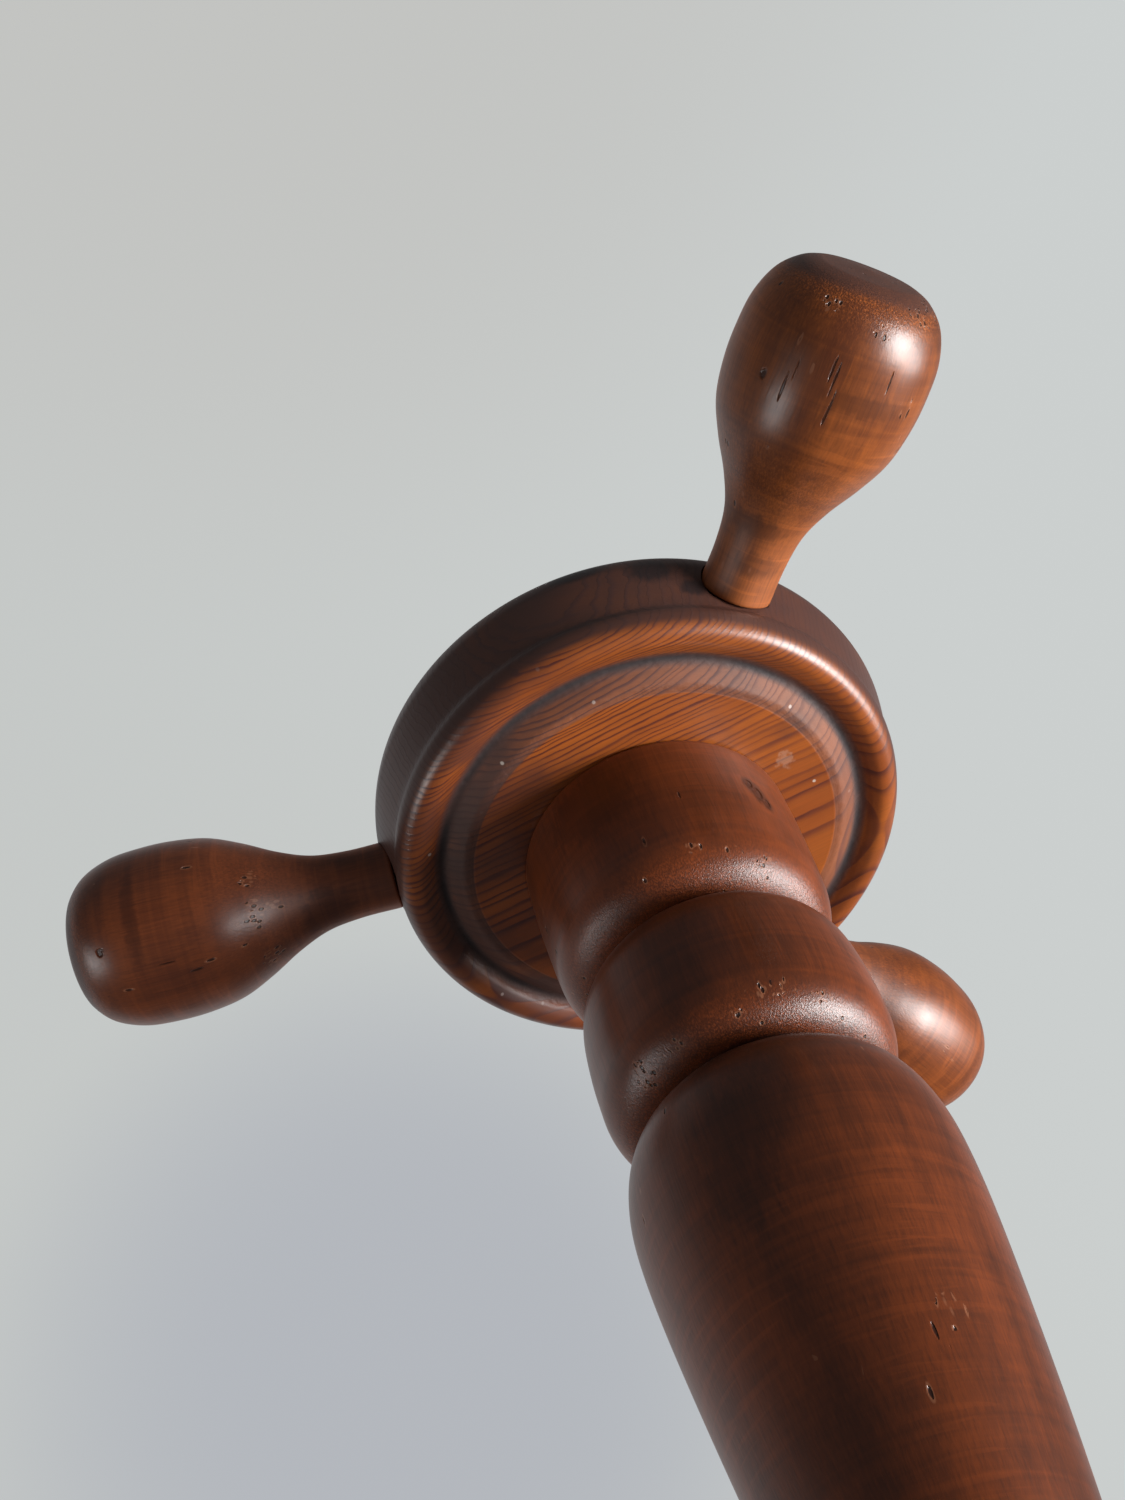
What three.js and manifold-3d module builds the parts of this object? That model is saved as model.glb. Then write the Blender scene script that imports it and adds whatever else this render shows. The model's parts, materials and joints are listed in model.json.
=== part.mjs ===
// A turned wooden coat stand: a moulded head disc with three bulb-ended pegs in its rim, a turned
// column in two lengths, and a moulded round base on bun feet. Millimetres, +Z up, and the origin
// is on the floor at the column's axis. Every piece is a separate solid with real clearances.

import * as THREE from "three";
import { mergeVertices } from "three/addons/utils/BufferGeometryUtils.js";
import Module from "manifold-3d";

const wasm = await Module();
wasm.setup();

// Driving dimensions
const GAP = 0.3; // clearance between pieces that touch
const HEAD_Z = 1700; // height of the head's datum, the widest circle of its lower bead
const HEAD_R = 80; // radius of the lower bead on the head's rim
const HEAD_LIP_R = 84; // widest radius of the rim, above the pegs
const PLATE_DROP = 4; // the flat plate under the head hangs this far below the datum
const HEAD_TOP = 34; // height of the head's top face above the datum

const PEG_RISE = 17.5; // height of the pegs' axes above the datum
const PEG_SEAT_R = 80.4; // distance of a peg's shoulder from the column's axis
const PEG_NECK_R = 10.8;
const PEG_BULB_R = 27.5;
const PEGS = [
  { angle: -52, length: 96 },
  { angle: 68, length: 106 },
  { angle: 190, length: 101 },
];

const RING_R = 41.5; // upper ring of the column, where it meets the head
const RING_END = 60; // distance from the datum to the first groove
const RING2_END = 112; // distance from the datum to the second groove
const GROOVE_R = 27;
const VASE_R = 40;
const NECK_R = 18.5;
const SHAFT_R = 25;
const BEAD_R = 30;
const JOINT_Z = 900; // height of the joint between the two lengths of column

const BASE_R = 200;
const BASE_BOTTOM = 43.3;
const BASE_TOP = 88;
const FOOT_R = 30;
const FOOT_CIRCLE_R = 150;
const FOOT_COUNT = 4;
const PAD_R = 16;
const PAD_T = 3;

const TENON_R = 15;
const HEAD_TENON = 18;
const BASE_TENON = 24;
const HEAD_PILOT = 48; // depth of the screw's pilot hole in the upper tenon
const BASE_PILOT = 84; // depth of the bolt's hole in the lower tenon
const STUD_R = 5;
const STUD_HALF = 45;
const INSERT_R = 7;
const INSERT_LENGTH = 25;

const PEG_SCREW = { radius: 3.5, half: 30 };
const FOOT_SCREW = { radius: 4, half: 24 };
const HEAD_SCREW = { radius: 2.5, length: 55, headR: 5, headH: 3.2 };
const BASE_BOLT = { radius: 5, length: 85, headR: 9, headH: 7 };
const WASHER_T = 1.6;
const HEAD_WASHER_R = 9;
const BASE_WASHER_R = 13;
const COUNTERBORE_Z = 22; // floor of the screw's counterbore, above the head's datum
const BOLT_POCKET_R = 15;
const BOLT_POCKET_DEPTH = 12;
const CAP_R = 24;
const CAP_SPIGOT_R = 12;

// The moulding from the edge of a disc's plate to the bead on its rim, as [distance outwards, depth
// behind the plate]: a fine quirk, a rounded shoulder, a soft groove and a rounded band.
const MOULDING = [[0, 0], [0.5, 0.8], [1.6, 0.2], [3.2, 0.7], [5.6, 2.1], [7.6, 3.6], [9.2, 4.2],
  [11, 3.7], [13.2, 2.2], [16, 1], [18.8, 1.4], [21.2, 3.3], [22.6, 6.2], [23, 8.2]];
const PLATE_R = HEAD_R - 23;
const BASE_MOULDING = 1.6; // how much larger the base's moulding is

// Materials
const wood = (color, roughness) => ({ color, roughness, metalness: 0 });
const DISC_WOOD = wood(0x7a3718, 0.38);
const COLUMN_WOOD = wood(0x54281a, 0.36);
const PEG_WOOD = wood(0x6b3319, 0.34);
const STEEL = { color: 0x9a9c9e, roughness: 0.35, metalness: 0.9 };
const BRASS = { color: 0xb08d4a, roughness: 0.4, metalness: 0.9 };
const FELT = { color: 0x3a302a, roughness: 0.95, metalness: 0 };

// Geometry helpers. An outline is a list of [radius, height] points, from the lowest point on the
// axis to the highest, or a closed loop for a ring.
const ROUND = 36;
const SMALL = 12;
const COLUMN_SIDES = 24;

function turned(outline, segments = ROUND) {
  const points = outline.map(([r, z]) => new THREE.Vector2(r, z));
  const geometry = new THREE.LatheGeometry(points, segments);
  geometry.rotateX(Math.PI / 2);
  return geometry;
}

// Points on an ellipse quarter or part, from one angle to another in degrees.
function ellipse(r, z, radiusR, radiusZ, from, to, steps) {
  return Array.from({ length: steps + 1 }, (_, i) => {
    const angle = THREE.MathUtils.degToRad(from + ((to - from) * i) / steps);
    return [r + radiusR * Math.cos(angle), z + radiusZ * Math.sin(angle)];
  });
}

// A smooth curve through the given points.
function smooth(knots, steps) {
  const curve = new THREE.SplineCurve(knots.map(([r, z]) => new THREE.Vector2(r, z)));
  return curve.getPoints(steps).map((p) => [p.x, p.y]);
}

function ring(inner, outer, bottom, top, segments = SMALL) {
  const loop = [[inner, bottom], [outer, bottom], [outer, top], [inner, top], [inner, bottom]];
  return turned(loop, segments);
}

function disc(radius, bottom, top, segments = SMALL) {
  return turned([[0, bottom], [radius, bottom], [radius, top], [0, top]], segments);
}

function toSolid(geometry) {
  const bare = geometry.clone();
  bare.deleteAttribute("normal");
  bare.deleteAttribute("uv");
  const merged = mergeVertices(bare, 1e-4);
  const corners = merged.index.array;
  const kept = [];
  for (let i = 0; i < corners.length; i += 3) {
    const [a, b, c] = corners.subarray(i, i + 3);
    if (a !== b && b !== c && c !== a) kept.push(a, b, c);
  }
  return new wasm.Manifold(new wasm.Mesh({
    numProp: 3,
    vertProperties: new Float32Array(merged.attributes.position.array),
    triVerts: new Uint32Array(kept),
  }));
}

function fromSolid(solid) {
  const mesh = solid.getMesh();
  const geometry = new THREE.BufferGeometry();
  geometry.setAttribute("position", new THREE.BufferAttribute(mesh.vertProperties, 3));
  geometry.setIndex(new THREE.BufferAttribute(mesh.triVerts, 1));
  return geometry;
}

function cut(geometry, cutters) {
  let solid = toSolid(geometry);
  for (const cutter of cutters) solid = solid.subtract(toSolid(cutter));
  return fromSolid(solid);
}

const stand = new THREE.Group();

function add(name, geometry, look, parent = stand) {
  const mesh = new THREE.Mesh(geometry, new THREE.MeshStandardMaterial(look));
  mesh.name = name;
  parent.add(mesh);
  return mesh;
}

// A group turned about the column's axis, with its own +X pointing outwards.
function spoke(degrees, z = 0) {
  const group = new THREE.Group();
  group.rotation.z = THREE.MathUtils.degToRad(degrees);
  group.position.z = z;
  stand.add(group);
  return group;
}

// A solid turned about +Z laid down along +X.
const alongX = (geometry) => geometry.rotateY(Math.PI / 2);

// The head disc: socket, plate and moulding underneath, a shallow cove up the rim to its lip, and a
// rounded top edge. Above the socket are the screw's hole and the counterbore that the cap's spigot
// closes.
function headOutline() {
  return [
    [0, HEAD_TENON - PLATE_DROP + GAP],
    [TENON_R + GAP, HEAD_TENON - PLATE_DROP + GAP],
    [TENON_R + GAP, -PLATE_DROP],
    ...MOULDING.map(([out, depth]) => [PLATE_R + out, depth - PLATE_DROP]),
    ...smooth([[79.5, 7], [81.2, 13], [83.3, 20.5], [HEAD_LIP_R, 25], [82.8, 30], [79, 33.4]], 6),
    [75, HEAD_TOP],
    [CAP_SPIGOT_R + GAP, HEAD_TOP],
    [CAP_SPIGOT_R + GAP, COUNTERBORE_Z],
    [0, COUNTERBORE_Z],
  ];
}

function headDisc() {
  const throughHole = disc(HEAD_SCREW.radius + GAP, 0, HEAD_TOP);
  const cutters = [throughHole];
  for (const { angle } of PEGS) {
    const turn = THREE.MathUtils.degToRad(angle);
    const seat = disc(PEG_NECK_R + GAP, PEG_SEAT_R - GAP, HEAD_LIP_R + 5, 16);
    const screwHole = disc(PEG_SCREW.radius + GAP, PEG_SEAT_R - PEG_SCREW.half - 1, HEAD_R + 5);
    for (const cutter of [seat, screwHole]) {
      cutters.push(alongX(cutter).translate(0, 0, PEG_RISE).rotateZ(turn));
    }
  }
  return cut(turned(headOutline()), cutters).translate(0, 0, HEAD_Z);
}

// A peg: a slim neck that swells into a pear-shaped bulb with a blunt, flattened end. Its shoulder
// is at zero, with a blind hole for its screw.
function pegOutline(length) {
  const bulb = smooth([
    [PEG_NECK_R, 0.02 * length],
    [PEG_NECK_R, 0.13 * length],
    [0.44 * PEG_BULB_R, 0.24 * length],
    [0.58 * PEG_BULB_R, 0.34 * length],
    [0.775 * PEG_BULB_R, 0.44 * length],
    [0.93 * PEG_BULB_R, 0.54 * length],
    [0.995 * PEG_BULB_R, 0.65 * length],
    [PEG_BULB_R, 0.75 * length],
    [0.965 * PEG_BULB_R, 0.84 * length],
    [0.85 * PEG_BULB_R, 0.92 * length],
    [0.67 * PEG_BULB_R, 0.97 * length],
    [0.5 * PEG_BULB_R, 0.99 * length],
  ], 17);
  const holeR = PEG_SCREW.radius + GAP;
  const holeEnd = PEG_SCREW.half + 1;
  return [[0, holeEnd], [holeR, holeEnd], [holeR, 0], [PEG_NECK_R, 0], ...bulb, [0, length]];
}

// A headless screw with a thread and a point at each end, centred on zero.
function doubleScrew({ radius, half }) {
  const core = 0.78 * radius;
  const thread = half - 2 * radius;
  const end = [[core, thread], [radius, thread - 1], [radius, 3], [core, 2]];
  const lower = end.map(([r, z]) => [r, -z]);
  return turned([[0, -half + GAP], ...lower, ...end.reverse(), [0, half - GAP]], 8);
}

function addPegs() {
  PEGS.forEach(({ angle, length }, i) => {
    const group = spoke(angle, HEAD_Z + PEG_RISE);
    const peg = add(`peg_${i + 1}`, alongX(turned(pegOutline(length), 20)), PEG_WOOD, group);
    const screw = add(`peg_screw_${i + 1}`, alongX(doubleScrew(PEG_SCREW)), STEEL, group);
    peg.position.x = PEG_SEAT_R;
    screw.position.x = PEG_SEAT_R;
  });
}

// The turned cap on top of the head, and the screw and washer that it covers.
function addHeadFixing() {
  const floor = HEAD_Z + COUNTERBORE_Z;
  const top = HEAD_Z + HEAD_TOP + GAP;
  const { radius, length, headR, headH } = HEAD_SCREW;
  const headBottom = floor + 2 * GAP + WASHER_T;
  add("head_washer", ring(radius + GAP, HEAD_WASHER_R, floor + GAP, floor + GAP + WASHER_T), STEEL);
  add("head_screw", turned([
    [0, headBottom - length],
    [radius, headBottom - length + 7],
    [radius, headBottom],
    [headR, headBottom],
    [headR, headBottom + 1],
    [headR - 1.6, headBottom + headH],
    [0, headBottom + headH],
  ], SMALL), STEEL);
  add("top_cap", turned([
    [0, top - 4],
    [CAP_SPIGOT_R, top - 4],
    [CAP_SPIGOT_R, top],
    [CAP_R - 1, top],
    ...ellipse(CAP_R - 2.5, top + 2.5, 2.5, 2.5, -50, 90, 3),
    [18, top + 5.6],
    ...ellipse(0, top + 5.6, 16.5, 11, 0, 78, 5),
    [0, top + 5.6 + 11],
  ], 24), DISC_WOOD);
}

// One length of the column, from the disc that it meets to the joint, as [radius, distance from
// the disc's datum]: ring, ring, vase, neck, bead, long shaft and the collar at the joint.
function columnOutline(total) {
  const end = total - GAP / 2;
  return [
    [RING_R - 0.8, PLATE_DROP + GAP],
    [RING_R, PLATE_DROP + 1.2],
    [RING_R - 0.2, 24],
    ...ellipse(GROOVE_R, 44, RING_R - 1.3 - GROOVE_R, RING_END - 44, 0, 84, 4),
    [GROOVE_R, RING_END + 0.4],
    ...smooth([[31, 63], [35.6, 67.5], [38.2, 74], [39, 86], [38.8, 96]], 5),
    ...ellipse(GROOVE_R, 97, 38.7 - GROOVE_R, RING2_END - 97, 8, 84, 4),
    [GROOVE_R, RING2_END + 0.4],
    ...smooth([[31, 115], [36, 120.5], [39, 129], [VASE_R, 141], [38.4, 163], [33.8, 199],
      [28.4, 234], [22.5, 272], [NECK_R, 302], [19.4, 318]], 14),
    [24, 321],
    ...ellipse(24, 330, BEAD_R - 24, 8, -70, 70, 4),
    [24, 339],
    [21, 343],
    ...smooth([[21.4, 349], [23.4, 430], [SHAFT_R, 560], [23.6, 690], [22, total - 38]], 6),
    [24, total - 34],
    ...ellipse(24, total - 25, BEAD_R - 24, 8, -70, 70, 4),
    [24, total - 16],
    [27.5, total - 12],
    [27.5, end - 0.8],
    [27, end],
  ];
}

// The bore at the joint end of a column length: an insert, then clearance for the stud.
function jointBore(total) {
  const end = total - GAP / 2;
  return [
    [INSERT_R + GAP, end],
    [INSERT_R + GAP, end - INSERT_LENGTH - GAP],
    [STUD_R + GAP, end - INSERT_LENGTH - GAP],
    [STUD_R + GAP, total - STUD_HALF - 2],
    [0, total - STUD_HALF - 2],
  ];
}

// The tenon at the disc end, with the pilot hole for a screw or bolt.
function tenon(length, pilotR, pilotDepth) {
  const top = PLATE_DROP - length;
  return [
    [0, top + pilotDepth],
    [pilotR, top + pilotDepth],
    [pilotR, top],
    [TENON_R - 1, top],
    [TENON_R, top + 1],
    [TENON_R, PLATE_DROP + GAP],
  ];
}

function addColumn() {
  const upper = HEAD_Z - JOINT_Z;
  const lowerDatum = BASE_TOP - PLATE_DROP;
  const lower = JOINT_Z - lowerDatum;
  const upperOutline = [
    ...tenon(HEAD_TENON, HEAD_SCREW.radius + GAP, HEAD_PILOT),
    ...columnOutline(upper),
    ...jointBore(upper),
  ];
  const lowerOutline = [
    ...tenon(BASE_TENON, BASE_BOLT.radius + GAP, BASE_PILOT),
    ...columnOutline(lower),
    ...jointBore(lower),
  ];
  const hanging = upperOutline.map(([r, d]) => [r, HEAD_Z - d]).reverse();
  const standing = lowerOutline.map(([r, d]) => [r, lowerDatum + d]);
  add("column_upper", turned(hanging, COLUMN_SIDES), COLUMN_WOOD);
  add("column_lower", turned(standing, COLUMN_SIDES), COLUMN_WOOD);
}

// The threaded stud that joins the two lengths, and the insert in each of them.
function addColumnJoint() {
  const half = STUD_HALF - 1;
  add("joint_stud", turned([
    [0, JOINT_Z - half],
    [STUD_R - 1, JOINT_Z - half],
    [STUD_R, JOINT_Z - half + 1],
    [STUD_R, JOINT_Z + half - 1],
    [STUD_R - 1, JOINT_Z + half],
    [0, JOINT_Z + half],
  ], SMALL), STEEL);
  const inner = STUD_R + GAP;
  const [near, far] = [GAP, INSERT_LENGTH];
  add("joint_insert_upper", ring(inner, INSERT_R, JOINT_Z + near, JOINT_Z + far), BRASS);
  add("joint_insert_lower", ring(inner, INSERT_R, JOINT_Z - far, JOINT_Z - near), BRASS);
}

// The base disc: the head's moulding on a larger circle, facing up, with the column's socket on
// top, and the bolt's counterbore and the feet's screw holes underneath.
function baseOutline() {
  const socket = BASE_TOP - BASE_TENON;
  const plateR = BASE_R - 23 * BASE_MOULDING;
  const moulding = MOULDING.map(([out, depth]) => [
    plateR + out * BASE_MOULDING,
    BASE_TOP - depth * BASE_MOULDING,
  ]);
  return [
    [0, BASE_BOTTOM + BOLT_POCKET_DEPTH],
    [BOLT_POCKET_R, BASE_BOTTOM + BOLT_POCKET_DEPTH],
    [BOLT_POCKET_R, BASE_BOTTOM],
    [BASE_R - 9, BASE_BOTTOM],
    ...ellipse(BASE_R - 9, BASE_BOTTOM + 6, 6, 6, -70, 0, 2),
    [BASE_R - 4.5, BASE_BOTTOM + 18],
    [BASE_R - 1.2, BASE_TOP - 19],
    ...moulding.reverse(),
    [TENON_R + GAP, BASE_TOP],
    [TENON_R + GAP, socket - GAP],
    [0, socket - GAP],
  ];
}

function baseDisc() {
  const boltHole = disc(BASE_BOLT.radius + GAP, BASE_BOTTOM + 5, BASE_TOP);
  const cutters = [boltHole];
  for (let i = 0; i < FOOT_COUNT; i += 1) {
    const turn = ((i + 0.5) * 2 * Math.PI) / FOOT_COUNT;
    const hole = disc(FOOT_SCREW.radius + GAP, BASE_BOTTOM - 5, BASE_BOTTOM + FOOT_SCREW.half + 1);
    cutters.push(hole.translate(FOOT_CIRCLE_R, 0, 0).rotateZ(turn));
  }
  return cut(turned(baseOutline(), 48), cutters);
}

function addBaseFixing() {
  const seat = BASE_BOTTOM + BOLT_POCKET_DEPTH - GAP;
  const { radius, length, headR, headH } = BASE_BOLT;
  const under = seat - WASHER_T - GAP;
  add("base_washer", ring(radius + GAP, BASE_WASHER_R, seat - WASHER_T, seat, 16), STEEL);
  const shank = [[radius, under], [radius, under + length - 9], [0, under + length]];
  const head = turned([[0, under - headH], [headR, under - headH], [headR, under], ...shank], 6);
  add("base_bolt", head, STEEL);
}

// A bun foot with its blind screw hole, its screw, and the felt pad under it.
function footOutline() {
  const bottom = PAD_T + GAP;
  const top = BASE_BOTTOM - GAP;
  const middle = (bottom + top) / 2;
  const holeR = FOOT_SCREW.radius + GAP;
  const holeEnd = top - FOOT_SCREW.half - 1;
  return [
    [0, bottom],
    ...ellipse(FOOT_R - 17, middle, 17, (top - bottom) / 2, -80, 80, 7),
    [FOOT_R - 15, top],
    [holeR, top],
    [holeR, holeEnd],
    [0, holeEnd],
  ];
}

function addFeet() {
  for (let i = 0; i < FOOT_COUNT; i += 1) {
    const group = spoke(((i + 0.5) * 360) / FOOT_COUNT);
    const foot = add(`foot_${i + 1}`, turned(footOutline(), 18), COLUMN_WOOD, group);
    const screw = add(`foot_screw_${i + 1}`, doubleScrew(FOOT_SCREW), STEEL, group);
    const pad = add(`floor_pad_${i + 1}`, disc(PAD_R, 0, PAD_T, 16), FELT, group);
    for (const piece of [foot, screw, pad]) piece.position.x = FOOT_CIRCLE_R;
    screw.position.z = BASE_BOTTOM;
  }
}

add("head_disc", headDisc(), DISC_WOOD);
addPegs();
addHeadFixing();
addColumn();
addColumnJoint();
add("base_disc", baseDisc(), DISC_WOOD);
addBaseFixing();
addFeet();

export default stand;
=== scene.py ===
"""A turned wooden coat stand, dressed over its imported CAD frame.

Outlines are in millimetres, as [radius, height] points, and everything else is in metres.
Every wooden piece is turned again here at full fineness, in the place of its CAD node.
"""

import json
import math

import bpy
import numpy as np
from mathutils import Matrix, Vector
from mathutils.kdtree import KDTree


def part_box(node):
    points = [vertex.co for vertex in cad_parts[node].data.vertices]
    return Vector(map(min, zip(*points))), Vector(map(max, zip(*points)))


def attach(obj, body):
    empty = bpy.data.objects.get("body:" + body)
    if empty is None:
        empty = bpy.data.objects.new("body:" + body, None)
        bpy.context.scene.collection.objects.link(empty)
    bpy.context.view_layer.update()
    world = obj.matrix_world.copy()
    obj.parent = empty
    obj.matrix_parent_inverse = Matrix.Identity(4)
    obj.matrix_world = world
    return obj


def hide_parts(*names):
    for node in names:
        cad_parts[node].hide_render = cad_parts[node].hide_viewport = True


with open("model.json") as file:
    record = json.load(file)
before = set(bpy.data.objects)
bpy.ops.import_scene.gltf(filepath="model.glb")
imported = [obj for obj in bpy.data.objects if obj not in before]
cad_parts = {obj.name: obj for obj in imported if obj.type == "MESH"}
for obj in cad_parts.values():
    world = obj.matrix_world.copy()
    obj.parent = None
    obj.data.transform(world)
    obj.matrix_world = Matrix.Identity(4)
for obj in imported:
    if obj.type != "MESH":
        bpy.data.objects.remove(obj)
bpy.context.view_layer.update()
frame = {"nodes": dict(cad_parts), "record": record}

MM = 0.001

# Heights taken from the frame: the head's datum is the underside of its plate plus 4 mm.
PLATE_DROP = 4.0
HEAD_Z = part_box("head_disc")[0].z / MM + PLATE_DROP
BASE_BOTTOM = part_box("base_disc")[0].z / MM
BASE_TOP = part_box("base_disc")[1].z / MM
JOINT_Z = 900.0
GAP = 0.3

# Camera: where it stands and how it is held, measured from the head's datum on the axis.
CAMERA_DISTANCE = 0.4506
CAMERA_BELOW = 49.64  # degrees below the head's plane
CAMERA_AIM_UP = 54.39  # degrees above the horizon
CAMERA_AIM_LEFT = 3.38
CAMERA_ROLL = 19.53
CAMERA_LENS = 34.8


# ---------------------------------------------------------------- outlines

def arc(r, z, radius_r, radius_z, start, end, steps=14):
    """Part of an ellipse about (r, z), from one angle to another in degrees."""
    angles = np.radians(np.linspace(start, end, steps + 1))
    return [(r + radius_r * math.cos(a), z + radius_z * math.sin(a)) for a in angles]


def curve(knots, steps=10):
    """A smooth curve through the knots (Catmull-Rom), with this many steps between two knots."""
    p = np.array([knots[0], *knots, knots[-1]], float)
    t = np.linspace(0, 1, steps, endpoint=False)[:, None]
    out = []
    for a, b, c, d in zip(p, p[1:], p[2:], p[3:]):
        v0, v1 = (c - a) / 2, (d - b) / 2
        out.append((2 * b - 2 * c + v0 + v1) * t**3 + (-3 * b + 3 * c - 2 * v0 - v1) * t**2 + v0 * t + b)
    return [tuple(q) for q in np.vstack(out)] + [tuple(knots[-1])]


def even(outline, fine, blend=2):
    """The outline at even steps of about `fine` mm, its corners eased by a few averaging passes."""
    p = np.array(outline, float)
    length = np.r_[0, np.cumsum(np.hypot(*np.diff(p, axis=0).T))]
    keep = np.r_[True, np.diff(length) > 1e-6]
    p, length = p[keep], length[keep]
    s = np.linspace(0, length[-1], max(8, int(length[-1] / fine) + 1))
    q = np.c_[np.interp(s, length, p[:, 0]), np.interp(s, length, p[:, 1])]
    for _ in range(blend):
        q[1:-1] = (q[:-2] + 2 * q[1:-1] + q[2:]) / 4
    return q


def hollow(outline, reach):
    """How far each point of an outline lies inside its smoothed neighbourhood: grooves are positive."""
    q = outline.copy()
    for _ in range(reach):
        q[1:-1] = (q[:-2] + 2 * q[1:-1] + q[2:]) / 4
    tangent = np.gradient(outline, axis=0)
    normal = np.c_[tangent[:, 1], -tangent[:, 0]]
    normal /= np.linalg.norm(normal, axis=1)[:, None] + 1e-9
    return ((q - outline) * normal).sum(1)


# ---------------------------------------------------------------- turning

def turned(name, outline, segments, wobble=None, reach=24, depth=0.6):
    """A closed body of revolution about +Z from an outline in mm that starts and ends on the axis.

    wobble(angle, z) gives a small change of radius in mm. The attribute "hollow" is near +1 in
    grooves and near -1 on ridges, for painted shade in the grooves and for wear on the ridges.
    """
    r, z = outline[:, 0].copy(), outline[:, 1]
    angle = np.arange(segments) * 2 * np.pi / segments
    R = np.repeat(r[1:-1, None], segments, 1)
    Z = np.repeat(z[1:-1, None], segments, 1)
    A = np.repeat(angle[None], len(R), 0)
    if wobble is not None:
        R = R + wobble(A, Z) * np.clip(R / 6, 0, 1)
    body = np.stack([R * np.cos(A), R * np.sin(A), Z], -1).reshape(-1, 3)
    verts = np.vstack([[0, 0, z[0]], body, [0, 0, z[-1]]]) * MM
    rows = len(R)
    index = 1 + np.arange(rows * segments).reshape(rows, segments)
    ahead = np.roll(index, -1, 1)
    quads = np.stack([index[:-1], ahead[:-1], ahead[1:], index[1:]], -1).reshape(-1, 4)
    last = len(verts) - 1
    low = [(0, b, a) for a, b in zip(index[0], ahead[0])]
    high = [(last, a, b) for a, b in zip(index[-1], ahead[-1])]
    mesh = bpy.data.meshes.new(name)
    mesh.from_pydata(verts.tolist(), [], quads.tolist() + low + high)
    obj = bpy.data.objects.new(name, mesh)
    bpy.context.scene.collection.objects.link(obj)
    mark_hollows(obj, outline, reach, depth)
    return obj


def mark_hollows(obj, outline, reach, depth):
    """Writes the attribute "hollow" from the nearest point of the outline."""
    mesh = obj.data
    co = np.zeros(len(mesh.vertices) * 3, np.float32)
    mesh.vertices.foreach_get("co", co)
    co = co.reshape(-1, 3) / MM
    flat = np.c_[np.hypot(co[:, 0], co[:, 1]), co[:, 2]]
    near = KDTree(len(outline))
    for i, (r, z) in enumerate(outline):
        near.insert((r, z, 0), i)
    near.balance()
    shape = np.clip(hollow(outline, reach) / depth, -1, 1)
    found, place = np.unique(flat.round(2), axis=0, return_inverse=True)
    values = np.array([shape[near.find((r, z, 0))[1]] for r, z in found])[place.ravel()]
    layer = mesh.attributes.get("hollow") or mesh.attributes.new("hollow", "FLOAT", "POINT")
    layer.data.foreach_set("value", values.astype(np.float32))


def crisp(obj, degrees=38):
    obj.data.shade_smooth()
    obj.data.set_sharp_from_angle(angle=math.radians(degrees))


def cut(obj, cutters):
    """Subtracts the cutters and deletes them."""
    for cutter in cutters:
        step = obj.modifiers.new("cut", "BOOLEAN")
        step.operation, step.solver, step.object = "DIFFERENCE", "MANIFOLD", cutter
    bpy.context.view_layer.update()
    graph = bpy.context.evaluated_depsgraph_get()
    mesh = bpy.data.meshes.new_from_object(obj.evaluated_get(graph))
    obj.modifiers.clear()
    obj.data = mesh
    for cutter in cutters:
        bpy.data.objects.remove(cutter)


def waves(seed, parts, size):
    """A smooth random wobble of about `size` mm: a sum of waves round the piece and along it."""
    rng = np.random.default_rng(seed)
    terms = [(rng.integers(1, 6), rng.uniform(0.01, 0.09), *rng.uniform(0, 6.28, 2), rng.uniform(0.3, 1))
             for _ in range(parts)]

    def wobble(angle, z):
        total = 0
        for turns, rate, p, q, weight in terms:
            total = total + weight * np.sin(turns * angle + p) * np.sin(rate * z + q)
        return total * size / math.sqrt(parts)

    return wobble


# ---------------------------------------------------------------- node helpers

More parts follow.
